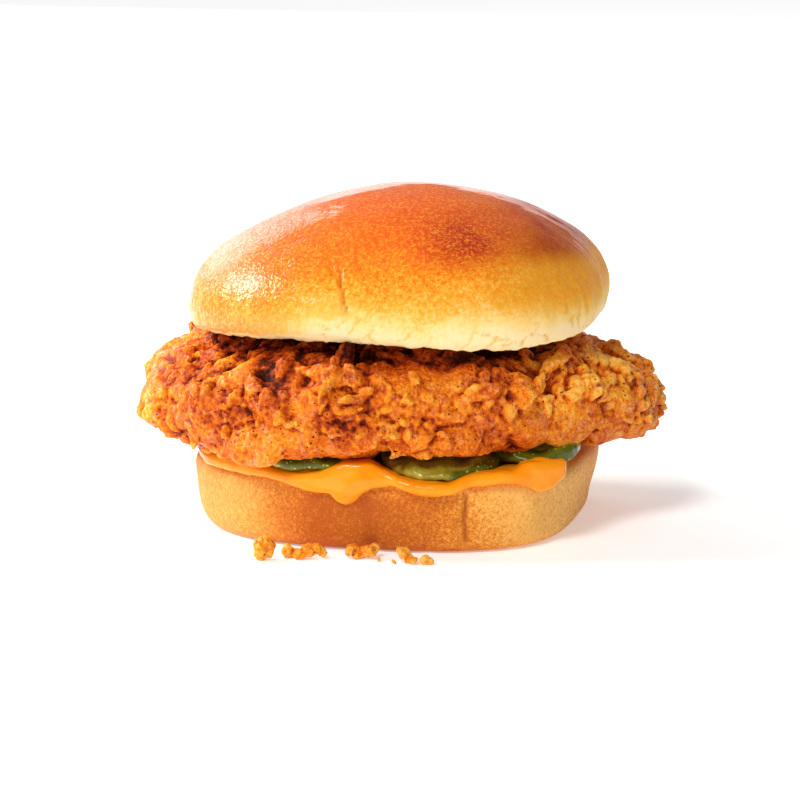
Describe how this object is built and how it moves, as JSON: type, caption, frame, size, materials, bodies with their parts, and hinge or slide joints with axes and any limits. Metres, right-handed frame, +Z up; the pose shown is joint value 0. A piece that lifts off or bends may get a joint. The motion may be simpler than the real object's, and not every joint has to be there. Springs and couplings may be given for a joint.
{
  "type": "chicken burger",
  "caption": "Fried chicken burger: a soft rounded bun in two halves with a craggy fried fillet, crinkle-cut pickle slices and orange sauce running over the front edge.",
  "frame": {"origin": "on the surface that the burger stands on, under the middle of the burger's box", "axes": "+X along the fillet's length, to the right seen from the front; +Y to the back; +Z up"},
  "size_m": [0.1086, 0.0828, 0.0681],
  "materials": {
    "bread_top": "glazed, satin, golden brown bread crust, paler low on the sides",
    "bread_bottom": "matt, soft golden bread",
    "crust": "slightly oily fried crumb with dark specks",
    "sauce": "wet, glossy, slightly translucent orange",
    "pickle": "wet green cucumber with a bumpy skin"
  },
  "bodies": {
    "root": {"bun_bottom": "bread_bottom", "bun_top": "bread_top", "fillet": "crust", "sauce": "sauce", "pickle_left": "pickle", "pickle_middle": "pickle", "pickle_right": "pickle"}
  },
  "joints": []
}
